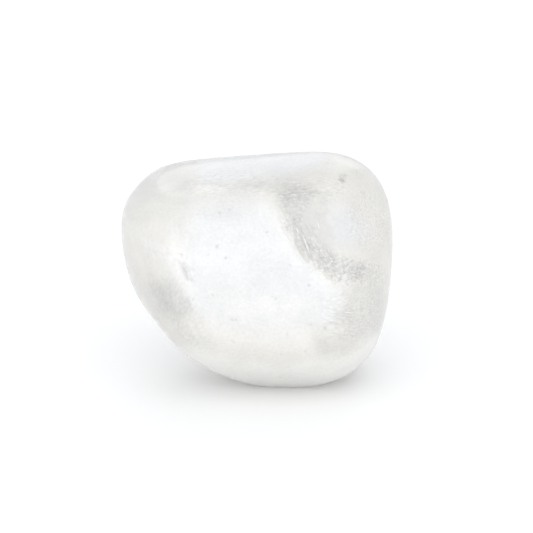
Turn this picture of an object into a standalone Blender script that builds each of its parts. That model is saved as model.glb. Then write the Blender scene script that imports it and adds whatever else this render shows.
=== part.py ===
"""Tumbled stone: one pebble of clear quartz, worn round by tumbling until only soft faces are left.

The stone is a single solid. Its form is what tumbling makes of a broken lump: each old break is
worn to a nearly flat face, and the edges between them are rounded off. So the form is drawn as a
list of worn faces, each with a direction and a distance from the middle, which are blended into
one smooth closed surface, with a few shallow hollows where a chip was worn smooth.

Frame: metres, +Z up, +X along the longest side. The front, the side with the broad clear face,
looks towards -Y. The origin is under the middle of the stone, on the surface that it lies on.
"""
import math

import bmesh
import bpy
from mathutils import Vector

MM = 0.001

# Driving dimensions
STONE_LENGTH = 28.0 * MM
REST_CUT = 0.7 * MM

# Edge rounding: a low number wears the stone to a ball, a high one leaves crisp edges.
EDGE_CRISPNESS = 11.0

# Four levels of halving the triangles of an icosahedron put them about 0.9 mm apart.
SPHERE_SUBDIVISIONS = 5

# The worn faces. Turn is the way that a face looks, in degrees about +Z from the front (-Y)
# towards +X. Tilt is how far it looks up (+) or down (-), in degrees. Distance is from the
# middle of the stone, in millimetres, before the whole is brought to STONE_LENGTH.
WORN_FACES = (
    # name, turn, tilt, distance
    ("front", 4, 6, 9.5),
    ("front_left", -50, -8, 12.5),
    ("front_low", -4, -44, 11.0),
    ("front_right_low", 42, -22, 13.3),
    ("brow", -10, 50, 11.6),
    ("top", -60, 78, 10.9),
    ("crown_right", 72, 50, 14.3),
    ("right_cheek", 50, 19, 12.2),
    ("right", 92, -8, 12.7),
    ("right_low", 78, -56, 14.6),
    ("left", -92, -2, 15.3),
    ("left_brow", -85, 54, 15.1),
    ("left_low", -90, -49, 11.7),
    ("bottom", 0, -90, 13.5),
    ("back", 176, 4, 9.8),
    ("back_right", 130, 7, 12.4),
    ("back_left", -136, -14, 12.2),
    ("back_top", 170, 45, 11.3),
    ("back_low", 184, -46, 11.4),
)

# Shallow hollows, each an old chip worn smooth. Reach is the angle, seen from the middle of the
# stone, at which a hollow has run out to about a third of its depth.
HOLLOWS = (
    # name, turn, tilt, reach in degrees, depth in millimetres
    ("cheek_hollow", 30, 30, 15, 0.10),
    ("left_hollow", -62, 14, 17, 0.10),
    ("back_hollow", 158, -8, 20, 0.26),
    ("back_crown_hollow", 196, 34, 15, 0.18),
    ("back_left_hollow", -118, 22, 14, 0.14),
    ("right_hollow", 104, 16, 13, 0.10),
    ("top_hollow", 20, 74, 13, 0.06),
)

QUARTZ_COLOUR = (0.88, 0.89, 0.88, 1.0)
QUARTZ_ROUGHNESS = 0.2
QUARTZ_IOR = 1.544
QUARTZ_TRANSMISSION = 0.6


def clear_scene():
    """Remove every object that the file opened with."""
    for old in list(bpy.data.objects):
        bpy.data.objects.remove(old, do_unlink=True)


def direction(turn, tilt):
    """Unit vector for a turn about +Z from the front and a tilt up from level, both in degrees."""
    turn = math.radians(turn)
    tilt = math.radians(tilt)
    return Vector((math.sin(turn) * math.cos(tilt), -math.cos(turn) * math.cos(tilt), math.sin(tilt)))


def worn_radius(way, faces, hollows):
    """Distance from the middle of the stone to its surface along a unit vector."""
    total = 0.0
    for looks, distance in faces:
        share = max(0.0, way.dot(looks)) / distance
        total += share ** EDGE_CRISPNESS
    radius = total ** (-1.0 / EDGE_CRISPNESS)
    for looks, reach, depth in hollows:
        radius -= depth * math.exp(-((way.angle(looks) / reach) ** 2))
    return radius


def shape_stone(bm):
    """Move each point of a ball along its own line to the worn surface, at the real size."""
    faces = [(direction(turn, tilt), distance * MM) for _, turn, tilt, distance in WORN_FACES]
    hollows = [
        (direction(turn, tilt), math.radians(reach), depth * MM)
        for _, turn, tilt, reach, depth in HOLLOWS
    ]
    for vert in bm.verts:
        way = vert.co.normalized()
        vert.co = way * worn_radius(way, faces, hollows)
    across = [vert.co.x for vert in bm.verts]
    scale = STONE_LENGTH / (max(across) - min(across))
    bmesh.ops.scale(bm, vec=(scale, scale, scale), verts=bm.verts)


def cut_rest_spot(bm):
    """Grind the one small flat that the stone lies on, level across its lowest point."""
    level = min(vert.co.z for vert in bm.verts) + REST_CUT
    cut = bmesh.ops.bisect_plane(
        bm,
        geom=bm.verts[:] + bm.edges[:] + bm.faces[:],
        plane_co=(0.0, 0.0, level),
        plane_no=(0.0, 0.0, -1.0),
        clear_outer=True,
    )
    rim = [item for item in cut["geom_cut"] if isinstance(item, bmesh.types.BMEdge)]
    bmesh.ops.edgeloop_fill(bm, edges=rim)
    bmesh.ops.recalc_face_normals(bm, faces=bm.faces)


def stand_on_origin(bm):
    """Put the origin under the middle of the stone, on the surface that it lies on."""
    low = Vector([min(vert.co[axis] for vert in bm.verts) for axis in range(3)])
    high = Vector([max(vert.co[axis] for vert in bm.verts) for axis in range(3)])
    middle = (low + high) / 2
    bmesh.ops.translate(bm, vec=(-middle.x, -middle.y, -low.z), verts=bm.verts)


def quartz_material():
    """Clear quartz with a tumbled polish."""
    material = bpy.data.materials.new("clear_quartz")
    material.use_nodes = True
    shader = material.node_tree.nodes["Principled BSDF"]
    shader.inputs["Base Color"].default_value = QUARTZ_COLOUR
    shader.inputs["Metallic"].default_value = 0.0
    shader.inputs["Roughness"].default_value = QUARTZ_ROUGHNESS
    shader.inputs["IOR"].default_value = QUARTZ_IOR
    shader.inputs["Transmission Weight"].default_value = QUARTZ_TRANSMISSION
    return material


def make_stone():
    """Build the stone as one closed solid."""
    bm = bmesh.new()
    bmesh.ops.create_icosphere(bm, subdivisions=SPHERE_SUBDIVISIONS, radius=1.0)
    shape_stone(bm)
    cut_rest_spot(bm)
    stand_on_origin(bm)
    mesh = bpy.data.meshes.new("stone")
    bm.to_mesh(mesh)
    bm.free()
    mesh.shade_smooth()
    mesh.materials.append(quartz_material())
    stone = bpy.data.objects.new("stone", mesh)
    bpy.context.scene.collection.objects.link(stone)
    return stone


clear_scene()
make_stone()
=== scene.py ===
"""Tumbled clear quartz pebble: the looks.

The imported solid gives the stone's form. This script makes the polished surface over it, the milk,
the healed cracks and the feathers that show inside the clear quartz, and a pale studio around it.
It is laid out as an add-on and run as a script. All lengths are in metres unless a name says so.
"""
import math

import bmesh
import bpy
import numpy as np
from bpy.props import FloatProperty, FloatVectorProperty, PointerProperty
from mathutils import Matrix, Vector, noise
from mathutils.bvhtree import BVHTree


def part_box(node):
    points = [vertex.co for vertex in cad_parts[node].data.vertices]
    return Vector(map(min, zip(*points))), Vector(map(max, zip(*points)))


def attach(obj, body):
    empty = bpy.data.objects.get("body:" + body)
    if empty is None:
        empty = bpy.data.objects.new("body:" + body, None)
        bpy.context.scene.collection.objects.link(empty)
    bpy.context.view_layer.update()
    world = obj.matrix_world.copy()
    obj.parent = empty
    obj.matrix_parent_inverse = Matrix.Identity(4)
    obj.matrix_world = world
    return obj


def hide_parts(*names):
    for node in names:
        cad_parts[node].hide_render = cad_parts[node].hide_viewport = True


bl_info = {
    "name": "Tumbled Quartz Pebble",
    "version": (1, 0, 0),
    "blender": (4, 5, 0),
    "location": "3D View > Sidebar > Pebble",
    "description": "Builds a tumbled clear quartz pebble with the milk and cracks inside it",
    "category": "Add Mesh",
}

MM = 0.001

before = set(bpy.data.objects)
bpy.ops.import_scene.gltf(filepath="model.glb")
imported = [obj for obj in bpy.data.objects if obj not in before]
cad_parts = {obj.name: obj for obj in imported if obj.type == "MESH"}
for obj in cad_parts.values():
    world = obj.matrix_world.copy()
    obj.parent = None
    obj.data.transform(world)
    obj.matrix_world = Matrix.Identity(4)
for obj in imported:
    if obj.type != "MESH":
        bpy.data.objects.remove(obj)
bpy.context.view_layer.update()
NODE = "stone"
BODY = "root"
LOW, HIGH = (Vector(corner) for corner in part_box(NODE))
MIDDLE = (LOW + HIGH) / 2

# The camera, from the photograph. A pixel is one of the photograph's 533 by 533.
PHOTO_PIXELS = 533
LENS_MM = 100.0
SENSOR_MM = 36.0
CAMERA_ELEVATION = math.radians(18.0)
CAMERA_DISTANCE = 153.5 * MM
AIM_RIGHT = 1.01 * MM
AIM_UP = 0.23 * MM

# Quartz
QUARTZ_IOR = 1.544

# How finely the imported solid's triangles are smoothed: twice halved, to about 0.2 mm
SMOOTH_LEVELS = 2
WELD_DISTANCE = 0.02 * MM


def hex_to_linear(code):
    """Linear RGB of an sRGB hex colour."""
    channels = [int(code[i:i + 2], 16) / 255 for i in (0, 2, 4)]
    return tuple(c / 12.92 if c <= 0.04045 else ((c + 0.055) / 1.055) ** 2.4 for c in channels)


def colour_setting(name, description, code):
    """A colour that can be set, with a hex code as its default."""
    return FloatVectorProperty(
        name=name,
        description=description,
        subtype="COLOR",
        size=3,
        min=0,
        max=1,
        default=hex_to_linear(code),
    )


def light_setting(name, description, default):
    """A brightness that can be set."""
    return FloatProperty(name=name, description=description, min=0, default=default)


class PebbleSettings(bpy.types.PropertyGroup):
    """The clear quartz and its surface."""

    quartz_colour: colour_setting(
        "Quartz colour", "Colour of the faint haze that all of the quartz has", "F1EFEC",
    )
    milk_colour: colour_setting(
        "Milk colour", "Colour of the milky part, which fine bubbles make cooler than the rest", "EEEEEF",
    )
    # The shade colour is partly the grey beside the cracks and partly painted shade on the upper left
    # shoulder and the lower right cheek.
    shade_colour: colour_setting(
        "Shade colour", "Colour of the greyer parts beside the cracks", "E2E1DF",
    )
    # Painted light: the glow colour lightens the foot, the top edge, the low part of the milky heart and a
    # hollow of the upper left shoulder.
    painted_glow_colour: colour_setting(
        "Glow colour", "Colour of the foot and the top edge, where light comes out again", "FFFEFA",
    )
    absorption_colour: colour_setting(
        "Absorption colour", "Colour that is left after light has gone one unit of density", "E6E4DC",
    )
    absorption_density: FloatProperty(
        name="Absorption density",
        description="How fast the quartz takes up light, per metre",
        min=0,
        default=8.0,
    )
    clearness: FloatProperty(
        name="Clearness",
        description="Share of the light that goes through rather than being scattered by the haze",
        subtype="FACTOR",
        min=0,
        max=1,
        default=0.5,
    )
    haze_reach: FloatProperty(
        name="Haze reach",
        description="How far the haze carries light inside the stone",
        unit="LENGTH",
        min=0,
        default=8.0 * MM,
    )


class InclusionSettings(bpy.types.PropertyGroup):
    """What shows inside the stone."""

    crack_colour: colour_setting("Crack colour", "Colour of the healed cracks' film", "B4B2AE")
    flank_colour: colour_setting("Flank colour", "Colour of the smoky veils in the flanks", "EAE6DE")
    # The foot's veil is pale to paint in the light that comes out at the foot.
    low_colour: colour_setting("Low colour", "Colour of the veil in the foot", "FBF8F1")


class StageSettings(bpy.types.PropertyGroup):
    """The studio."""

    floor_colour: colour_setting("Floor colour", "Colour of the paper sweep", "F2F2F2")
    room_light: light_setting("Room light", "Brightness of the white tent round the stone", 0.94)
    front_light: light_setting("Front light", "Brightness of the softbox over the camera", 0.55)
    low_light: light_setting(
        "Low light", "Brightness of the strip softbox that lights the stone's foot from in front", 4.4,
    )
    back_light: light_setting(
        "Back light", "Brightness of the softbox behind the stone, which the top face mirrors", 0.9,
    )


def node(tree, kind, links=(), **settings):
    """Add a node. Settings name its sockets or its own options; links join (socket, source)."""
    made = tree.nodes.new(kind)
    for name, value in settings.items():
        socket = made.inputs.get(name.replace("_", " "))
        if socket is not None:
            socket.default_value = value
        else:
            setattr(made, name, value)
    for socket, source in links:
        tree.links.new(source, made.inputs[socket])
    return made


def remap(tree, value, limits, **settings):
    """A value spread from one range, the first two limits, over another, the last two."""
    sockets = dict(zip(("From_Min", "From_Max", "To_Min", "To_Max"), limits))
    return node(tree, "ShaderNodeMapRange", [("Value", value)], **sockets, **settings).outputs["Result"]


def times(tree, one, other):
    """The product of two values."""
    return node(tree, "ShaderNodeMath", [(0, one), (1, other)], operation="MULTIPLY").outputs[0]


def new_material(name):
    """A new node material: itself, its tree, its Principled shader and its output."""
    material = bpy.data.materials.new(name)
    material.use_nodes = True
    tree = material.node_tree
    return material, tree, tree.nodes["Principled BSDF"], tree.nodes["Material Output"]


# Marks that change the quartz's colour, each over the one before it. The shade is partly painted shade and
# the glow is painted light.
COLOUR_MARKS = ("milk", "shade", "painted_glow")
# Marks that break the quartz up into streaks: the way these run (degrees up from the right), their
# length and width, darkest and brightest. The mesh's attribute of a mark's name says where it is.
MARK_STYLES = {
    "granular": (0, 0.30 * MM, 0.24 * MM, 0.83, 1.13),
    "steep": (115, 0.8 * MM, 0.18 * MM, 0.87, 1.10),
    "rising": (52, 1.6 * MM, 0.28 * MM, 0.92, 1.04),
    "level": (-3, 0.8 * MM, 0.16 * MM, 0.90, 1.10),
    "bloom": (155, 0.7 * MM, 0.3 * MM, 0.98, 1.10),
}
# How far a noise frays a mark's edge, the size of that noise in colours and in streaks, and the
# share of the mark at which it starts to show and at which it is whole
FRAY = 0.5
COLOUR_FRAY_GRAIN = 2.0 * MM
STREAK_FRAY_GRAIN = 0.5 * MM
MARK_START = 0.1
MARK_WHOLE = 0.9
# Bruises from the grit are 0.1 to 0.3 mm across. The haze is uneven over a few millimetres.
GRIT_GRAIN = 0.3 * MM
CLOUD_GRAIN = 2.2 * MM
# The range of a noise that counts, and the brightness or the roughness that it is spread over
GRIT_TONE = (0.3, 0.7, 0.95, 1.04)
GRIT_POLISH = (0.35, 0.7, 0.08, 0.18)
CLOUD_TONE = (0.3, 0.7, 0.965, 1.025)
STREAK_RANGE = (0.32, 0.68)
PIT_DARKENING = 0.24
SHEEN = 0.25
SHEEN_ROUGHNESS = 0.35


def rock_crystal(settings):
    """Rock crystal, tumbled in grit and then in polish.

    The polish leaves a soft shine with fine bruises that the grit left, and the quartz holds a
    faint haze, so the stone is see-through but never sharply so. Cracks that reach the surface
    break that haze up into bright and dark grains and streaks.
    """
    material, tree, shader, output = new_material("tumbled_rock_crystal")
    place = node(tree, "ShaderNodeTexCoord").outputs["Object"]

    def noise_at(vector, scale, **options):
        """A noise texture's value."""
        return node(tree, "ShaderNodeTexNoise", [("Vector", vector)], Scale=scale, **options).outputs["Fac"]

    def mark(name, grain):
        """How much of a mark there is, from its attribute, with its edge frayed by a noise."""
        share = node(tree, "ShaderNodeAttribute", attribute_name=name).outputs["Fac"]
        tear = noise_at(place, 1 / grain, Detail=3.0)
        frayed = node(tree, "ShaderNodeMath", [(0, tear), (2, share)], operation="MULTIPLY_ADD")
        frayed.inputs[1].default_value = FRAY
        limits = (FRAY / 2 + MARK_START, FRAY / 2 + MARK_WHOLE, 0.0, 1.0)
        return remap(tree, frayed.outputs[0], limits, interpolation_type="SMOOTHSTEP")

    # The shade tint is partly painted shade, and the glow tint is painted light.
    tinted = None
    for name in COLOUR_MARKS:
        tint = node(tree, "ShaderNodeMix", [("Factor", mark(name, COLOUR_FRAY_GRAIN))], data_type="RGBA")
        tint.inputs[6].default_value = (*settings.quartz_colour, 1)
        tint.inputs[7].default_value = (*getattr(settings, name + "_colour"), 1)
        if tinted is not None:
            tree.links.new(tinted, tint.inputs[6])
        tinted = tint.outputs[2]
    grit = noise_at(place, 1 / GRIT_GRAIN, Detail=3.0, Roughness=0.6)
    cloud = noise_at(place, 1 / CLOUD_GRAIN, Detail=4.0)
    tone = times(tree, remap(tree, grit, GRIT_TONE), remap(tree, cloud, CLOUD_TONE))
    for name, (run, length, width, darkest, brightest) in MARK_STYLES.items():
        along = node(tree, "ShaderNodeMapping", [("Vector", place)], vector_type="TEXTURE")
        along.inputs["Rotation"].default_value = (0, -math.radians(run), 0)
        along.inputs["Scale"].default_value = (length, width, width)
        streak = noise_at(along.outputs["Vector"], 1.0, Detail=3.0)
        mixed = node(tree, "ShaderNodeMix", [("Factor", mark(name, STREAK_FRAY_GRAIN))], data_type="FLOAT")
        mixed.inputs[2].default_value = 1.0
        tree.links.new(remap(tree, streak, (*STREAK_RANGE, darkest, brightest)), mixed.inputs[3])
        tone = times(tree, tone, mixed.outputs[0])
    # Darker in the pits.
    pit = node(tree, "ShaderNodeAttribute", attribute_name="pit").outputs["Fac"]
    darkness = node(tree, "ShaderNodeMath", [(0, pit)], operation="MULTIPLY_ADD")
    darkness.inputs[1].default_value = -PIT_DARKENING
    darkness.inputs[2].default_value = 1.0
    tone = times(tree, tone, darkness.outputs[0])
    colour = node(tree, "ShaderNodeVectorMath", [(0, tinted), ("Scale", tone)], operation="SCALE")
    ceiling = node(tree, "ShaderNodeVectorMath", [(0, colour.outputs[0])], operation="MINIMUM")
    ceiling.inputs[1].default_value = (1, 1, 1)
    tree.links.new(ceiling.outputs[0], shader.inputs["Base Color"])
    tree.links.new(remap(tree, grit, GRIT_POLISH), shader.inputs["Roughness"])
    shader.inputs["IOR"].default_value = QUARTZ_IOR
    # What the grit left on the polish catches light at the rim.
    shader.inputs["Sheen Weight"].default_value = SHEEN
    shader.inputs["Sheen Roughness"].default_value = SHEEN_ROUGHNESS
    shader.inputs["Transmission Weight"].default_value = settings.clearness
    shader.inputs["Subsurface Weight"].default_value = 1.0
    shader.inputs["Subsurface Radius"].default_value = (1.0, 1.0, 1.0)
    shader.inputs["Subsurface Scale"].default_value = settings.haze_reach
    body = node(tree, "ShaderNodeVolumeAbsorption", Density=settings.absorption_density)
    body.inputs["Color"].default_value = (*settings.absorption_colour, 1)
    tree.links.new(body.outputs["Volume"], output.inputs["Volume"])
    return material


VEIL_ROUGHNESS = 0.6


def veil_material(name, colour, cover, soft, grain):
    """A film of bubbles too small to see one by one, thinning out to a wispy rim.

    Cover is how much it hides at its thickest, soft is how far in from the rim it is still
    thinning, and grain is the size of its wisps.
    """
    material, tree, shader, _ = new_material(name)
    rim = node(tree, "ShaderNodeAttribute", attribute_name="rim").outputs["Fac"]
    place = node(tree, "ShaderNodeTexCoord").outputs["Object"]
    wisps = node(
        tree, "ShaderNodeTexNoise", [("Vector", place)],
        Scale=1 / grain, Detail=5.0, Roughness=0.6, Distortion=0.6,
    ).outputs["Fac"]
    ragged = node(tree, "ShaderNodeMath", [(0, wisps), (2, rim)], operation="MULTIPLY_ADD")
    ragged.inputs[1].default_value = soft
    limits = (soft / 2, soft * 3 / 2, 0.0, cover)
    fade = remap(tree, ragged.outputs[0], limits, interpolation_type="SMOOTHSTEP")
    tree.links.new(fade, shader.inputs["Alpha"])
    shader.inputs["Base Color"].default_value = (*colour, 1)
    shader.inputs["Roughness"].default_value = VEIL_ROUGHNESS
    return material


# A fleck is mottled between its colour and a darker share of it, over this range of a noise.
FLECK_GRAIN = 0.8 * MM
FLECK_RANGE = (0.4, 0.6)
FLECK_DARKEST = 0.85
FLECK_ROUGHNESS = 0.5


def fleck_material(name, code):
    """An air film in an old crack, seen edge on: matte and unevenly grey."""
    material, tree, shader, _ = new_material(name)
    place = node(tree, "ShaderNodeTexCoord").outputs["Object"]
    mottle = node(tree, "ShaderNodeTexNoise", [("Vector", place)], Scale=1 / FLECK_GRAIN, Detail=2.0)
    shade = node(tree, "ShaderNodeValToRGB", [("Fac", mottle.outputs["Fac"])])
    for index, tone in enumerate((FLECK_DARKEST, 1.0)):
        shade.color_ramp.elements[index].position = FLECK_RANGE[index]
        shade.color_ramp.elements[index].color = (*(channel * tone for channel in hex_to_linear(code)), 1)
    tree.links.new(shade.outputs["Color"], shader.inputs["Base Color"])
    shader.inputs["Roughness"].default_value = FLECK_ROUGHNESS
    return material


def add_object(name, mesh, material):
    """Link a mesh, with its material, as a piece of the stone that rides on it."""
    mesh.materials.clear()
    mesh.materials.append(material)
    piece = bpy.data.objects.new(name, mesh)
    bpy.context.scene.collection.objects.link(piece)
    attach(piece, BODY)
    return piece


# A line of sight goes on this far inside the surface, and at most this share of the way through.
STEP_IN = 0.01 * MM
DEEPEST_SHARE = 0.7


class Sight:
    """A camera's axes, and the points of the stone that one of its pixels shows."""

    surface = None

    def __init__(self, turn, elevation, aim_right=0.0, aim_up=0.0):
        """Turn is how far round the stone the camera stands, in degrees, 0 for the photograph's."""
        round_angle = math.radians(turn)
        self.right = Vector((math.cos(round_angle), math.sin(round_angle), 0))
        level = Vector((-math.sin(round_angle), math.cos(round_angle), 0))
        self.forward = level * math.cos(elevation) - Vector((0, 0, math.sin(elevation)))
        self.up = level * math.sin(elevation) + Vector((0, 0, math.cos(elevation)))
        aim = MIDDLE + self.right * aim_right + self.up * aim_up
        self.eye = aim - self.forward * CAMERA_DISTANCE
        self.focal_pixels = PHOTO_PIXELS * LENS_MM / SENSOR_MM
        self.centre = PHOTO_PIXELS / 2

    def line(self, x, y):
        """Direction in which the camera sees a pixel."""
        way = self.forward + self.right * (x - self.centre) / self.focal_pixels
        way += self.up * (self.centre - y) / self.focal_pixels
        return way.normalized()

    def pixels(self, points):
        """Where the camera sees each of an array of points."""
        away = points - np.array(self.eye)
        scale = self.focal_pixels / (away @ np.array(self.forward))
        across = self.centre + away @ np.array(self.right) * scale
        down = self.centre - away @ np.array(self.up) * scale
        return np.stack([across, down], axis=1)

    def inside(self, x, y, depth):
        """Point at a depth behind the surface along the bent line of sight, and the normal there."""
        way = self.line(x, y)
        hit, normal, _, _ = Sight.surface.ray_cast(self.eye, way)
        if hit is None:
            return None, None
        bent = bend(way, normal)
        far, _, _, span = Sight.surface.ray_cast(hit + bent * STEP_IN, bent)
        if far is None:
            return None, None
        return hit + bent * min(depth, span * DEEPEST_SHARE), normal


def bend(way, normal):
    """Direction of a line of sight after it enters the quartz."""
    ratio = 1 / QUARTZ_IOR
    facing = -way.dot(normal)
    under = 1 - ratio * ratio * (1 - facing * facing)
    return (way * ratio + normal * (ratio * facing - math.sqrt(under))).normalized()


PHOTO = Sight(0, CAMERA_ELEVATION, AIM_RIGHT, AIM_UP)
# The sides that the photograph hides, each as a camera that faces it would see it. These cameras
# stand a little above level, as the photograph's does.
RIGHT_SIDE = Sight(90, math.radians(8))
BACK_SIDE = Sight(180, math.radians(12))
LEFT_SIDE = Sight(270, math.radians(8))


def smooth_loop(points, count):
    """A closed smooth curve of count points through given points."""
    knots = np.array(points, float)
    total = len(knots)
    curve = []
    for step in range(count):
        where = step * total / count
        first = int(where)
        part = where - first
        a, b, c, d = (knots[(first + k) % total] for k in (-1, 0, 1, 2))
        curve.append(
            0.5 * (2 * b + (c - a) * part + (2 * a - 5 * b + 4 * c - d) * part ** 2
                   + (3 * b - a - 3 * c + d) * part ** 3)
        )
    return curve


# A veil: how far apart its ripples are in pixels, its least depth under the surface, its rings and
# sectors, its thickness in the middle, and the share of that which is left at the rim
RIPPLE_PIXELS = 22
LEAST_DEPTH = 0.15 * MM
VEIL_RINGS = 14
VEIL_SECTORS = 56
VEIL_THICKNESS = 0.03 * MM
VEIL_RIM = 0.02
END_STEP = 0.01
# What one pixel of the photograph measures at the stone
PIXEL = CAMERA_DISTANCE * SENSOR_MM / LENS_MM / PHOTO_PIXELS


def shown_end(centre, point, place):
    """The last place on the way from a veil's centre to its rim that the stone still covers."""
    reach = 1.0
    while place(centre + (point - centre) * reach)[0] is None:
        reach -= END_STEP
    return centre + (point - centre) * reach


def veil(name, material, outline, near, far, ripple):
    """A thin closed sheet inside the stone, seen through the front with the given outline.

    Its depth under the surface goes from near at its left to far at its right, with a ripple.
    The mesh holds how far each point is from the rim, for the material to fade.
    """
    rim = smooth_loop(outline, VEIL_SECTORS)
    centre = sum(rim) / len(rim)
    left = min(point[0] for point in rim)
    width = max(point[0] for point in rim) - left
    bm = bmesh.new()
    fade = bm.verts.layers.float.new("rim")

    def place(seen):
        depth = near + (far - near) * (seen[0] - left) / width
        depth += ripple * noise.noise(Vector((*seen, near / MM)) / RIPPLE_PIXELS)
        return PHOTO.inside(*seen, max(depth, LEAST_DEPTH))

    def vertex(spot, seen):
        made = bm.verts.new(spot)
        made[fade] = min(np.hypot(*(seen - other)) for other in rim) * PIXEL
        return made

    ends = [shown_end(centre, point, place) for point in rim]
    fronts, backs = [], []
    for ring in range(VEIL_RINGS + 1):
        share = ring / VEIL_RINGS
        front, back = [], []
        for end in ends[:1] if ring == 0 else ends:
            seen = centre + (end - centre) * share
            spot, normal = place(seen)
            front.append(vertex(spot, seen))
            back.append(vertex(spot - normal * VEIL_THICKNESS * (1 + VEIL_RIM - share), seen))
        fronts.append(front)
        backs.append(back)
    for layer in (fronts, backs):
        for ring in range(VEIL_RINGS):
            for i in range(VEIL_SECTORS):
                j = (i + 1) % VEIL_SECTORS
                inner, outer = layer[ring], layer[ring + 1]
                if ring == 0:
                    bm.faces.new((inner[0], outer[i], outer[j]))
                else:
                    bm.faces.new((inner[i], outer[i], outer[j], inner[j]))
    for i in range(VEIL_SECTORS):
        j = (i + 1) % VEIL_SECTORS
        bm.faces.new((fronts[-1][i], backs[-1][i], backs[-1][j], fronts[-1][j]))
    bmesh.ops.recalc_face_normals(bm, faces=bm.faces)
    mesh = bpy.data.meshes.new(name)
    bm.to_mesh(mesh)
    bm.free()
    mesh.shade_smooth()
    add_object(name, mesh, material)


# Flakes: how little they crowd towards the middle of an outline, how deep they lie at most, how
# unevenly they lean, bend and vary in size, and how thick they are for their width
CROWDING = 0.6
FLAKE_DEPTH = 0.0
FLAKE_LEAN = 0.35
FLAKE_BEND = 0.25
FLAKE_UNEVEN = 0.4
FLAKE_FLATNESS = 0.15


def scatter(outline, count, run, spread, seed):
    """Places for flakes behind an outline, thicker towards its middle: point, normal and run.

    Run is the way that the flakes point in the picture, in degrees up from the right, and
    spread is how far they turn from it.
    """
    rng = np.random.default_rng(seed)
    rim = smooth_loop(outline, VEIL_SECTORS)
    centre = sum(rim) / len(rim)
    made = []
    while len(made) < count:
        point = rim[rng.integers(len(rim))]
        seen = centre + (point - centre) * rng.random() ** CROWDING
        spot, normal = PHOTO.inside(*seen, FLAKE_DEPTH * rng.random())
        if spot is None:
            continue
        angle = math.radians(run + rng.normal(0, spread))
        lean = normal + Vector(rng.normal(0, FLAKE_LEAN, 3))
        made.append((spot, lean.normalized(), PHOTO.right * math.cos(angle) + PHOTO.up * math.sin(angle)))
    return made


def flakes(name, material, places, size, stretch, seed):
    """Many four-sided flakes as one mesh, each at a place (point, normal, run) given to it."""
    rng = np.random.default_rng(seed)
    corners = np.array([(1, 1, 1), (1, -1, -1), (-1, 1, -1), (-1, -1, 1)]) / 3 ** 0.5
    points, faces = [], []
    for spot, normal, run in places:
        along = Vector(run) - normal * normal.dot(Vector(run))
        along = (along.normalized() + Vector(rng.normal(0, FLAKE_BEND, 3))).normalized()
        side = normal.cross(along).normalized()
        up = along.cross(side)
        scale = size / 2 * rng.lognormal(0, FLAKE_UNEVEN)
        base = len(points)
        for a, b, c in corners:
            shape = along * a * stretch + side * b + up * c * FLAKE_FLATNESS
            points.append(spot + shape * scale)
        faces += [(base, base + 1, base + 2), (base, base + 3, base + 1)]
        faces += [(base, base + 2, base + 3), (base + 1, base + 3, base + 2)]
    mesh = bpy.data.meshes.new(name)
    mesh.from_pydata(points, [], faces)
    add_object(name, mesh, material)


# What the photograph shows on and inside the stone: outlines in its pixels
MILK_HEART = (
    (192, 214), (224, 200), (262, 204), (288, 232), (306, 260),
    (340, 296), (336, 322), (276, 336), (210, 326), (182, 286), (180, 244),
)
MILK_EDGE = (
    (226, 262), (246, 232), (276, 226), (290, 244), (306, 262),
    (338, 292), (340, 312), (322, 324), (276, 328), (236, 312),
)
LOW_MILK = ((206, 276), (260, 284), (320, 290), (332, 312), (276, 330), (214, 324))
GREY_FRACTURE = (
    (280, 196), (322, 190), (332, 222), (338, 256), (366, 266), (350, 280), (318, 272), (292, 240),
)
GREY_CHEEK = ((344, 290), (384, 286), (388, 330), (362, 358), (320, 362), (312, 338), (338, 326))
GREY_SHOULDER = (
    (96, 196), (112, 150), (150, 122), (194, 130), (200, 172), (190, 206), (168, 222), (130, 222),
)
GREY_FOOT = ((150, 274), (180, 284), (194, 316), (222, 352), (206, 382), (166, 346), (140, 302))
TOP_MILK = ((198, 148), (250, 140), (318, 138), (322, 164), (254, 178), (202, 181))
CHEEK_MILK = ((312, 210), (344, 206), (366, 226), (356, 246), (326, 246), (310, 228))
RIGHT_FLANK = (
    (256, 184), (284, 230), (300, 258), (320, 278), (336, 296), (330, 330),
    (350, 410), (430, 340), (430, 200), (380, 130), (320, 156), (272, 160),
)
LEFT_FLANK = (
    (84, 240), (106, 150), (180, 140), (202, 176), (188, 224),
    (178, 262), (182, 300), (214, 350), (190, 410), (110, 340),
)
LOW_FLANK = ((150, 310), (230, 316), (300, 318), (352, 312), (410, 380), (300, 440), (180, 430))
LOW_RIM = ((184, 350), (240, 362), (330, 362), (376, 336), (400, 360), (340, 430), (220, 430), (170, 400))
TOP_RIM = ((186, 140), (240, 138), (300, 134), (346, 138), (350, 153), (300, 153), (240, 157), (198, 162))
CRACK_TOP = ((276, 184), (300, 180), (318, 188), (312, 206), (298, 222), (282, 210))
CRACK_MIDDLE = ((280, 220), (300, 214), (318, 236), (336, 258), (322, 270), (302, 256), (288, 238))
CRACK_LOW = ((314, 262), (340, 256), (378, 264), (382, 282), (350, 288), (324, 278))
CRACK_LEFT = ((178, 260), (187, 259), (196, 279), (190, 285), (181, 275))
CRACK_FOOT = ((146, 280), (176, 278), (198, 306), (212, 344), (188, 346), (158, 314))
FEATHER = ((144, 238), (158, 244), (190, 256), (186, 268), (162, 260), (146, 256))
CROWN_LINE = ((190, 173), (240, 171), (300, 176), (346, 180), (344, 196), (300, 200), (240, 196), (192, 195))
CHEEK_LINES = ((326, 296), (374, 292), (378, 330), (330, 336))


# A blob's corners, and how far out they are as shares of its size
BLOB_CORNERS = 9
BLOB_REACH = (0.7, 1.15)


def blob(x, y, wide, high, seed):
    """An uneven round outline about a pixel: a small mark, or one that the photograph hides."""
    rng = np.random.default_rng(seed)
    made = []
    for corner in range(BLOB_CORNERS):
        angle = 2 * math.pi * corner / BLOB_CORNERS
        reach = rng.uniform(*BLOB_REACH)
        made.append((x + wide * reach * math.cos(angle), y + high * reach * math.sin(angle)))
    return made


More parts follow.
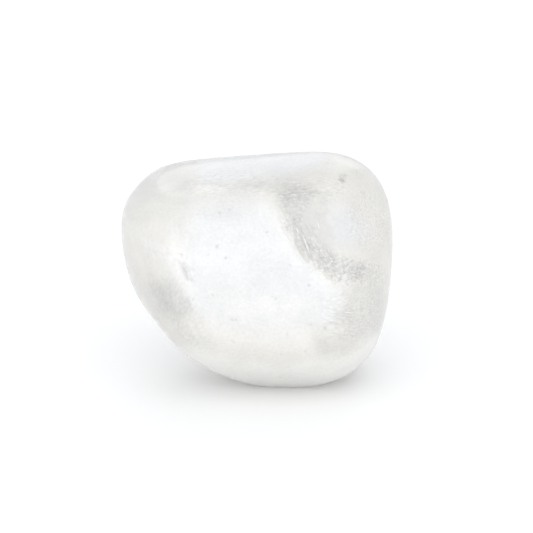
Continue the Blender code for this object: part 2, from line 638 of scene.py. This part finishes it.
# Every mark: its kind, the sight that it is drawn for, its outline, the width of its edge in pixels
# and its strength
MARKS = (
    ("milk", PHOTO, MILK_HEART, 44, 1.0),
    ("milk", PHOTO, MILK_EDGE, 14, 1.0),
    ("milk", PHOTO, TOP_MILK, 20, 1.0),
    ("milk", PHOTO, CHEEK_MILK, 34, 1.0),
    ("milk", RIGHT_SIDE, blob(310, 290, 50, 60, 1), 90, 1.0),
    ("milk", BACK_SIDE, blob(300, 250, 90, 70, 2), 90, 1.0),
    ("milk", LEFT_SIDE, blob(210, 250, 45, 60, 3), 90, 1.0),
    # Grey beside the cracks, with painted shade over the upper left shoulder, a light spot on it and the
    # lower right cheek.
    ("shade", PHOTO, GREY_FRACTURE, 24, 1.0),
    ("shade", PHOTO, GREY_FOOT, 44, 0.65),
    ("shade", PHOTO, GREY_SHOULDER, 30, 0.35),
    ("shade", PHOTO, GREY_CHEEK, 24, 0.9),
    ("shade", PHOTO, blob(176, 181, 24, 16, 16), 24, 0.85),
    ("shade", PHOTO, blob(180, 238, 14, 30, 17), 28, 0.7),
    ("shade", BACK_SIDE, blob(225, 250, 36, 60, 10), 30, 1.0),
    # Painted light: lighter along the foot and the top edge, low in the milky heart and in a hollow of the
    # upper left shoulder.
    ("painted_glow", PHOTO, LOW_RIM, 30, 1.0),
    ("painted_glow", PHOTO, TOP_RIM, 7, 0.8),
    ("painted_glow", PHOTO, LOW_MILK, 40, 0.38),
    ("painted_glow", PHOTO, blob(160, 205, 22, 15, 15), 26, 0.65),
    ("shade", PHOTO, blob(342, 179, 4, 5, 12), 5, 1.0),
    ("granular", PHOTO, blob(342, 179, 5, 6, 12), 4, 1.0),
    ("granular", PHOTO, blob(364.5, 194.5, 5, 4, 13), 5, 1.0),
    ("granular", PHOTO, CRACK_TOP, 12, 0.6),
    ("granular", PHOTO, CRACK_MIDDLE, 12, 0.55),
    ("granular", PHOTO, CRACK_LOW, 10, 1.0),
    ("steep", PHOTO, CRACK_LEFT, 6, 0.75),
    ("granular", RIGHT_SIDE, blob(300, 230, 22, 30, 4), 24, 0.7),
    ("granular", BACK_SIDE, blob(210, 290, 34, 24, 5), 24, 0.7),
    ("granular", LEFT_SIDE, blob(230, 310, 20, 26, 6), 24, 0.7),
    ("steep", PHOTO, CRACK_MIDDLE, 10, 1.0),
    ("steep", BACK_SIDE, blob(225, 240, 26, 44, 7), 16, 1.0),
    ("rising", PHOTO, CRACK_FOOT, 20, 1.0),
    ("milk", PHOTO, FEATHER, 8, 0.45),
    ("bloom", PHOTO, FEATHER, 8, 1.0),
    ("rising", LEFT_SIDE, blob(236, 200, 34, 22, 8), 20, 1.0),
    ("level", PHOTO, CROWN_LINE, 12, 0.8),
    ("level", PHOTO, CHEEK_LINES, 16, 1.0),
    ("level", RIGHT_SIDE, blob(230, 220, 40, 26, 9), 20, 1.0),
)
MARK_SAMPLES = 240
# A mark fades where the surface turns away from its sight. The surface's normal along the line of
# sight is under 0 where it faces the camera. The photograph's marks end a little behind its
# outline, and those of the hidden sides well in front of theirs.
PHOTO_FACING = 0.35
HIDDEN_FACING = -0.4
FACING_FADE = 0.35


def mark_share(sight, points, normals, outline, edge):
    """How far inside an outline each point is: 0 outside or turned away, half on it, 1 well inside."""
    rim = np.array(smooth_loop(outline, MARK_SAMPLES))
    ahead = np.roll(rim, -1, axis=0)
    seen = sight.pixels(points)
    share = np.zeros(len(points))
    near = (seen > rim.min(axis=0) - edge).all(axis=1) & (seen < rim.max(axis=0) + edge).all(axis=1)
    limit = PHOTO_FACING if sight is PHOTO else HIDDEN_FACING
    turned = np.clip((limit - normals @ np.array(sight.forward)) / FACING_FADE, 0, 1)
    near &= turned > 0
    x, y = seen[near, :1], seen[near, 1:]
    spans = (rim[:, 1] > y) != (ahead[:, 1] > y)
    rise = np.where(spans, ahead[:, 1] - rim[:, 1], 1.0)
    crossing = rim[:, 0] + (y - rim[:, 1]) * (ahead[:, 0] - rim[:, 0]) / rise
    inside = (spans & (x < crossing)).sum(axis=1) % 2 == 1
    gap = np.sqrt((x - rim[:, 0]) ** 2 + (y - rim[:, 1]) ** 2).min(axis=1)
    share[near] = np.clip(0.5 + np.where(inside, gap, -gap) / edge, 0, 1) * turned[near]
    return share


# Pits that the photograph shows: pixel, width and depth. The first two are one broken bruise.
PITS = (
    ((342, 179), 0.85 * MM, 0.10 * MM),
    ((345, 175), 0.50 * MM, 0.06 * MM),
    ((364, 194), 0.30 * MM, 0.02 * MM),
    ((229.5, 209.5), 0.26 * MM, 0.04 * MM),
    ((219.5, 213), 0.28 * MM, 0.03 * MM),
    ((217, 246.5), 0.34 * MM, 0.03 * MM),
    ((226, 258), 0.30 * MM, 0.03 * MM),
    ((187, 257), 0.28 * MM, 0.03 * MM),
    ((193, 300), 0.30 * MM, 0.04 * MM),
    ((232, 320), 0.26 * MM, 0.03 * MM),
    ((236, 320), 0.24 * MM, 0.03 * MM),
    ((309, 285.5), 0.32 * MM, 0.04 * MM),
    ((276, 299), 0.26 * MM, 0.02 * MM),
    ((215, 175), 0.32 * MM, 0.03 * MM),
    ((267, 232), 0.26 * MM, 0.02 * MM),
    ((325, 328), 0.36 * MM, 0.03 * MM),
    ((305, 352), 0.26 * MM, 0.03 * MM),
    ((281, 354), 0.24 * MM, 0.03 * MM),
)
# Pits that are too small to place one by one: how many, their width in millimetres, and their depth
# and darkness as shares
SMALL_PITS = 220
SMALL_PIT_WIDTH = (0.12, 0.32)
SMALL_PIT_DEPTH = (0.05, 0.12)
SMALL_PIT_DARKNESS = (0, 0.6)
# A pit up to this width is darkened as much as any, and a wider one less for its width.
NARROW_PIT = 0.3 * MM
# A pit runs out at this many times its half width.
PIT_RIM = 1.25
# How uneven the surface is where a crack comes out at it
MARK_RELIEF = 0.008 * MM
WEAR_SEED = 11


def wear_surface(mesh):
    """Mark a stone's mesh, and press the pits and the unevenness of its marks into it."""
    total = len(mesh.vertices)
    points = np.empty(total * 3, np.float32)
    mesh.vertices.foreach_get("co", points)
    points = points.reshape(-1, 3).astype(float)
    normals = np.empty(total * 3, np.float32)
    mesh.vertex_normals.foreach_get("vector", normals)
    normals = normals.reshape(-1, 3).astype(float)
    shares = {name: np.zeros(total) for name in (*COLOUR_MARKS, *MARK_STYLES)}
    for name, sight, outline, edge, strength in MARKS:
        share = strength * mark_share(sight, points, normals, outline, edge)
        shares[name] = np.maximum(shares[name], share)
    rng = np.random.default_rng(WEAR_SEED)
    pits = []
    for pixel, width, depth in PITS:
        pits.append((PHOTO.inside(*pixel, 0)[0], width, depth, min(NARROW_PIT / width, 1.0)))
    for index in rng.choice(total, SMALL_PITS, replace=False):
        width = rng.uniform(*SMALL_PIT_WIDTH) * MM
        depth = width * rng.uniform(*SMALL_PIT_DEPTH)
        pits.append((points[index], width, depth, rng.uniform(*SMALL_PIT_DARKNESS)))
    sunk = np.zeros(total)
    pit_share = np.zeros(total)
    for spot, width, depth, darkness in pits:
        away = np.linalg.norm(points - np.array(spot), axis=1) / (width / 2)
        bowl = np.clip(PIT_RIM - away, 0, 1)
        sunk = np.maximum(sunk, depth * bowl)
        pit_share = np.maximum(pit_share, bowl * darkness)
    rough = rng.random(total)
    for name in MARK_STYLES:
        sunk += shares[name] * rough * MARK_RELIEF
    mesh.vertices.foreach_set("co", (points - normals * sunk[:, None]).astype(np.float32).ravel())
    for name, share in (*shares.items(), ("pit", pit_share)):
        mesh.attributes.new(name, "FLOAT", "POINT").data.foreach_set("value", share.astype(np.float32))


class STONE_OT_pebble(bpy.types.Operator):
    """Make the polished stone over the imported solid"""

    bl_idname = "tumbled_stone.pebble"
    bl_label = "Pebble"

    def execute(self, context):
        """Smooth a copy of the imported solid, wear it and finish its surface."""
        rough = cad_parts[NODE].data.copy()
        bm = bmesh.new()
        bm.from_mesh(rough)
        bmesh.ops.remove_doubles(bm, verts=bm.verts, dist=WELD_DISTANCE)
        bm.to_mesh(rough)
        bm.free()
        shape = bpy.data.objects.new("pebble_shape", rough)
        context.scene.collection.objects.link(shape)
        smooth = shape.modifiers.new("smooth", "SUBSURF")
        smooth.levels = SMOOTH_LEVELS
        graph = context.evaluated_depsgraph_get()
        mesh = bpy.data.meshes.new_from_object(shape.evaluated_get(graph))
        mesh.name = "quartz_pebble"
        bpy.data.objects.remove(shape)
        Sight.surface = BVHTree.FromPolygons(
            [vert.co.copy() for vert in mesh.vertices], [tuple(face.vertices) for face in mesh.polygons],
        )
        wear_surface(mesh)
        mesh.shade_smooth()
        stone = add_object("quartz_pebble", mesh, rock_crystal(context.scene.pebble))
        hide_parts(NODE)
        return {"FINISHED"}


class STONE_OT_milk(bpy.types.Operator):
    """Add the milky veils"""

    bl_idname = "tumbled_stone.milk"
    bl_label = "Milk"

    def execute(self, context):
        """Lay the white veils behind the front face, along the top and in the right cheek."""
        milk = context.scene.pebble.milk_colour
        heart = veil_material("milky_veil", milk, cover=0.5, soft=2.0 * MM, grain=3.0 * MM)
        veil("milk_heart", heart, MILK_HEART, near=2.0 * MM, far=3.0 * MM, ripple=0.8 * MM)
        band = veil_material("milky_band", milk, cover=0.7, soft=0.8 * MM, grain=2.0 * MM)
        veil("milk_top", band, TOP_MILK, near=0.8 * MM, far=1.0 * MM, ripple=0.3 * MM)
        cheek = veil_material("milky_wisp", milk, cover=0.5, soft=1.8 * MM, grain=2.0 * MM)
        veil("milk_cheek", cheek, CHEEK_MILK, near=1.2 * MM, far=1.8 * MM, ripple=0.4 * MM)
        return {"FINISHED"}


class STONE_OT_flanks(bpy.types.Operator):
    """Add the smoky veils in the flanks"""

    bl_idname = "tumbled_stone.flanks"
    bl_label = "Flanks"

    def execute(self, context):
        """Lay the greyer veils that frame the milky heart, and the warm pale one in the foot that paints in
        the light coming out there.
        """
        tones = context.scene.inclusions
        crisp = veil_material("smoky_veil", tones.flank_colour, cover=0.6, soft=1.3 * MM, grain=3.0 * MM)
        veil("flank_right", crisp, RIGHT_FLANK, near=4.0 * MM, far=2.0 * MM, ripple=0.8 * MM)
        film = veil_material("smoky_mist", tones.flank_colour, cover=0.6, soft=2.6 * MM, grain=4.0 * MM)
        veil("flank_left", film, LEFT_FLANK, near=1.5 * MM, far=3.5 * MM, ripple=0.8 * MM)
        painted_glow = veil_material("painted_glow_veil", tones.low_colour, cover=0.8, soft=1.8 * MM, grain=3.0 * MM)
        veil("flank_low", painted_glow, LOW_FLANK, near=1.0 * MM, far=1.0 * MM, ripple=0.5 * MM)
        return {"FINISHED"}


# Each crack: outline, how much its film hides, near and far depth, flakes, their run and spread
CRACKS = {
    "crack_top": (CRACK_TOP, 0.4, 1.0 * MM, 2.0 * MM, 12, 20, 50),
    "crack_middle": (CRACK_MIDDLE, 0.4, 1.4 * MM, 2.4 * MM, 10, 115, 20),
    "crack_low": (CRACK_LOW, 0.4, 1.6 * MM, 2.6 * MM, 12, 10, 50),
    "crack_left": (CRACK_LEFT, 0.3, 0.8 * MM, 1.4 * MM, 3, 130, 20),
    "crack_foot": (CRACK_FOOT, 0.5, 1.0 * MM, 2.0 * MM, 2, 52, 12),
}
# Slivers of crack that the photograph shows one by one: ends in pixels and width
BRIGHT_SLIVERS = (
    ((302.5, 234), (310.5, 256), 0.24 * MM),
    ((316.5, 218), (319.5, 229), 0.16 * MM),
    ((296.5, 227), (298.5, 234), 0.16 * MM),
    ((280, 211), (283, 216), 0.14 * MM),
    ((290, 194.5), (298, 195.5), 0.26 * MM),
    ((279.5, 195.5), (284, 197), 0.16 * MM),
    ((302, 193.5), (307, 193.8), 0.12 * MM),
    ((245, 189.5), (252, 194.5), 0.14 * MM),
    ((343.5, 311.8), (352.5, 313.2), 0.16 * MM),
    ((360, 270), (367, 273.5), 0.12 * MM),
    ((351, 274), (356, 276), 0.14 * MM),
    ((373, 258.8), (380, 258), 0.12 * MM),
    ((147, 249), (150, 255), 0.22 * MM),
    ((177, 253), (183, 255), 0.22 * MM),
)
DARK_SLIVERS = (
    ((294, 243), (306.5, 261.5), 0.16 * MM),
    ((282, 195.5), (298, 188.8), 0.10 * MM),
    ((296, 189), (304, 191.5), 0.16 * MM),
    ((312, 243), (316, 247.5), 0.16 * MM),
    ((323, 324.5), (340, 324), 0.12 * MM),
    ((338, 324.2), (355, 326.2), 0.09 * MM),
    ((336, 315), (352, 315.5), 0.09 * MM),
    ((336, 250.5), (345, 251), 0.10 * MM),
    ((180, 263), (190, 279), 0.14 * MM),
    ((183, 272), (189, 281), 0.10 * MM),
)
# A sliver: steps along it, height, width at its tips as a share, and how uneven its width is
SLIVER_STEPS = 8
SLIVER_HEIGHT = 0.012 * MM
SLIVER_TIP = 0.06
SLIVER_UNEVEN = 0.35
SLIVER_GRAIN = 0.3 * MM


def slivers(name, material, strokes):
    """Thin lens-shaped films where cracks come out at the surface, as one mesh."""
    bm = bmesh.new()
    for start, end, width in strokes:
        start, end = np.array(start, float), np.array(end, float)
        rings = []
        for step in range(SLIVER_STEPS + 1):
            share = step / SLIVER_STEPS
            spot, normal = PHOTO.inside(*(start + (end - start) * share), 0)
            run = PHOTO.right * (end - start)[0] - PHOTO.up * (end - start)[1]
            side = normal.cross(run).normalized()
            uneven = 1 + SLIVER_UNEVEN * noise.noise(spot / SLIVER_GRAIN)
            half = width / 2 * (SLIVER_TIP + math.sin(math.pi * share) * uneven)
            rise = normal * SLIVER_HEIGHT
            ring = (spot + side * half - rise, spot + rise, spot - side * half - rise, spot - rise * 2)
            rings.append([bm.verts.new(corner) for corner in ring])
        for here, there in zip(rings, rings[1:]):
            for i in range(4):
                j = (i + 1) % 4
                bm.faces.new((here[i], here[j], there[j], there[i]))
        bm.faces.new(rings[0])
        bm.faces.new(reversed(rings[-1]))
    bmesh.ops.recalc_face_normals(bm, faces=bm.faces)
    mesh = bpy.data.meshes.new(name)
    bm.to_mesh(mesh)
    bm.free()
    add_object(name, mesh, material)


# The films' colours: a glint, a paler bloom and the shaded side
GLINT = "C2C2C0"
BLOOM = "C6C6C4"
SHADE = "B4B2AF"
# The flakes of a crack: size of the pale and of the dark ones, how long they are for their width,
# and what the dark ones' seed adds
PALE_SIZE = 0.09 * MM
DARK_SIZE = 0.16 * MM
CRACK_STRETCH = 1.8
DARK_SEED = 50
# Flakes beside the cracks: outline, count, run and spread, size, stretch, seed, whether pale
LOOSE_FLAKES = {
    "feather": (FEATHER, 10, 155, 25, 0.10 * MM, 1.6, 90, True),
    "cheek_lines": (CHEEK_LINES, 8, 0, 8, 0.06 * MM, 5.0, 91, True),
    "crown_line": (CROWN_LINE, 14, 0, 20, 0.10 * MM, 2.0, 92, False),
}


class STONE_OT_cracks(bpy.types.Operator):
    """Add the healed cracks"""

    bl_idname = "tumbled_stone.cracks"
    bl_label = "Cracks"

    def execute(self, context):
        """Lay a grey film and its bright and dark flakes for each crack, and the slivers."""
        tone = context.scene.inclusions.crack_colour
        bright = fleck_material("crack_glint", GLINT)
        pale = fleck_material("crack_bloom", BLOOM)
        dark = fleck_material("crack_shade", SHADE)
        for seed, (name, crack) in enumerate(CRACKS.items()):
            outline, cover, near, far, count, run, spread = crack
            film = veil_material(name + "_film", tone, cover=cover, soft=0.9 * MM, grain=0.7 * MM)
            veil(name, film, outline, near, far, ripple=0.5 * MM)
            glints = scatter(outline, count, run, spread, seed)
            flakes(name + "_glints", pale, glints, PALE_SIZE, CRACK_STRETCH, seed)
            shades = scatter(outline, count, run, spread, seed + DARK_SEED)
            flakes(name + "_shades", dark, shades, DARK_SIZE, CRACK_STRETCH, seed)
        slivers("bright_slivers", bright, BRIGHT_SLIVERS)
        slivers("dark_slivers", dark, DARK_SLIVERS)
        for name, (outline, count, run, spread, size, stretch, seed, is_pale) in LOOSE_FLAKES.items():
            places = scatter(outline, count, run, spread, seed)
            flakes(name, pale if is_pale else dark, places, size, stretch, seed)
        return {"FINISHED"}


class STONE_OT_stage(bpy.types.Operator):
    """Make the pale studio and the camera"""

    bl_idname = "tumbled_stone.stage"
    bl_label = "Stage"

    def execute(self, context):
        """Build the floor, the lights and the camera."""
        settings = context.scene.stage
        make_floor(settings)
        make_lights(settings)
        make_camera()
        context.scene.view_settings.view_transform = "Standard"
        return {"FINISHED"}


# Half the floor's width, in metres
FLOOR_HALF = 1.5
TENT_COLOUR = "FBFDFF"
# Each softbox: its setting, place, width and height in metres, and whether the polish mirrors it
SOFTBOXES = {
    "softbox_front": ("front_light", (0.0, -0.38, 0.32), 1.40, 0.80, True),
    "softbox_low": ("low_light", (0.0, -0.30, 0.035), 0.80, 0.06, False),
    "softbox_back": ("back_light", (0.05, 0.34, 0.26), 0.40, 0.24, True),
}


def make_floor(settings):
    """A matte white paper sweep that the stone lies on."""
    corners = [(-1, -1), (1, -1), (1, 1), (-1, 1)]
    mesh = bpy.data.meshes.new("paper_floor")
    mesh.from_pydata([(x * FLOOR_HALF, y * FLOOR_HALF, 0) for x, y in corners], [], [(0, 1, 2, 3)])
    material, _, shader, _ = new_material("white_paper")
    shader.inputs["Base Color"].default_value = (*settings.floor_colour, 1)
    shader.inputs["Roughness"].default_value = 0.8
    shader.inputs["Specular IOR Level"].default_value = 0.1
    mesh.materials.append(material)
    floor = bpy.data.objects.new("paper_floor", mesh)
    bpy.context.scene.collection.objects.link(floor)


def softbox(name, brightness, place, width, height, mirrored):
    """A rectangular softbox aimed at the stone. Brightness is what the camera would see of it.

    Mirrored says whether the polish shows the softbox, or only the light that it gives.
    """
    light = bpy.data.lights.new(name, "AREA")
    light.shape = "RECTANGLE"
    light.size = width
    light.size_y = height
    light.energy = brightness * math.pi * width * height
    lamp = bpy.data.objects.new(name, light)
    lamp.location = place
    lamp.rotation_euler = (MIDDLE - Vector(place)).to_track_quat("-Z", "Y").to_euler()
    lamp.visible_glossy = mirrored
    bpy.context.scene.collection.objects.link(lamp)


def make_lights(settings):
    """A white tent with a softbox over the camera, a low strip and a softbox behind the stone."""
    world = bpy.data.worlds.new("white_tent")
    world.use_nodes = True
    background = world.node_tree.nodes["Background"]
    background.inputs["Color"].default_value = (*hex_to_linear(TENT_COLOUR), 1)
    background.inputs["Strength"].default_value = settings.room_light
    bpy.context.scene.world = world
    for name, (setting, *form) in SOFTBOXES.items():
        softbox(name, getattr(settings, setting), *form)


def make_camera():
    """The camera at the photograph's viewing angle."""
    data = bpy.data.cameras.new("camera")
    data.lens = LENS_MM
    data.sensor_width = SENSOR_MM
    data.clip_start = 1 * MM
    camera = bpy.data.objects.new("camera", data)
    camera.location = PHOTO.eye
    camera.rotation_euler = PHOTO.forward.to_track_quat("-Z", "Y").to_euler()
    bpy.context.scene.collection.objects.link(camera)
    bpy.context.scene.camera = camera


class STONE_PT_panel(bpy.types.Panel):
    """Sidebar panel that lists the pieces"""

    bl_label = "Tumbled quartz pebble"
    bl_idname = "STONE_PT_panel"
    bl_space_type = "VIEW_3D"
    bl_region_type = "UI"
    bl_category = "Pebble"

    def draw(self, context):
        """List the settings and the operators."""
        layout = self.layout
        for group in (context.scene.pebble, context.scene.inclusions, context.scene.stage):
            for name in group.__annotations__:
                layout.prop(group, name)
        for operator in OPERATORS:
            layout.operator(operator.bl_idname)


SETTINGS = (("pebble", PebbleSettings), ("inclusions", InclusionSettings), ("stage", StageSettings))
OPERATORS = (STONE_OT_pebble, STONE_OT_milk, STONE_OT_flanks, STONE_OT_cracks, STONE_OT_stage)


def register():
    """Register the settings, the operators and the panel."""
    for name, group in SETTINGS:
        bpy.utils.register_class(group)
        setattr(bpy.types.Scene, name, PointerProperty(type=group))
    for operator in OPERATORS:
        bpy.utils.register_class(operator)
    bpy.utils.register_class(STONE_PT_panel)


def unregister():
    """Take everything back out."""
    bpy.utils.unregister_class(STONE_PT_panel)
    for operator in reversed(OPERATORS):
        bpy.utils.unregister_class(operator)
    for name, group in reversed(SETTINGS):
        delattr(bpy.types.Scene, name)
        bpy.utils.unregister_class(group)


def main():
    """Build the stone and its stage."""
    register()
    bpy.ops.tumbled_stone.pebble()
    bpy.ops.tumbled_stone.milk()
    bpy.ops.tumbled_stone.flanks()
    bpy.ops.tumbled_stone.cracks()
    bpy.ops.tumbled_stone.stage()


if __name__ == "__main__":
    main()
